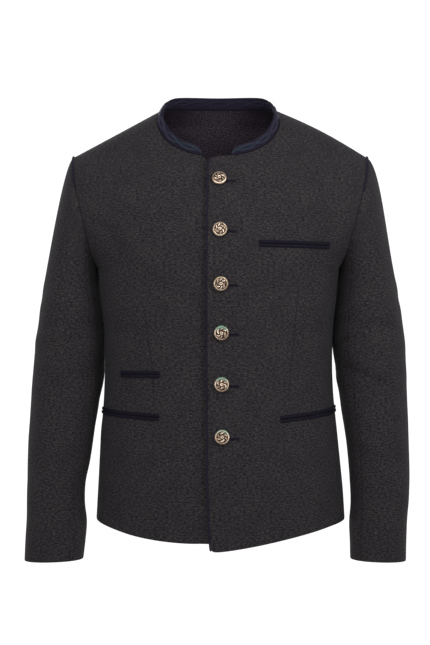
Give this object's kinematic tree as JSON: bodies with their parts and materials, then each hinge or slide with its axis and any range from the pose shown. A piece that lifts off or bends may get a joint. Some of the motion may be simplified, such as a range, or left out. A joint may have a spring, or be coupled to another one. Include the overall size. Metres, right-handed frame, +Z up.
{
  "type": "trachten jacket",
  "caption": "Fitted wool jacket with a low stand collar, buttoned front, navy piping, corded pocket welts and long sleeves, filled out as if worn.",
  "frame": {"origin": "middle of the neck opening, level with the points where collar and shoulder seams meet, on the plane of symmetry", "axes": "+X to the wearer's left, the front faces -Y, +Z up"},
  "size_m": [0.613, 0.255, 0.7453],
  "materials": {
    "wool_cloth": "charcoal-grey mottled wool, matt with a faint nap",
    "navy_trim": "dark navy wool and corded braid, matt",
    "lining_cloth": "dark aubergine lining, a soft sheen",
    "button_metal": "antique brass, relief with dark hollows and a little green patina"
  },
  "bodies": {
    "root": {"front_left": "wool_cloth", "front_right": "wool_cloth", "back_left": "wool_cloth", "back_right": "wool_cloth", "sleeve_left_upper": "wool_cloth", "sleeve_left_under": "wool_cloth", "sleeve_right_upper": "wool_cloth", "sleeve_right_under": "wool_cloth", "collar": "navy_trim", "front_edge_piping": "navy_trim", "armhole_piping_left": "navy_trim", "armhole_piping_right": "navy_trim", "chest_welt": "navy_trim", "ticket_welt": "navy_trim", "hip_welt_left": "navy_trim", "hip_welt_right": "navy_trim", "back_lining_left": "lining_cloth", "back_lining_right": "lining_cloth", "button_1": "button_metal", "button_2": "button_metal", "button_3": "button_metal", "button_4": "button_metal", "button_5": "button_metal", "button_6": "button_metal"}
  },
  "joints": []
}
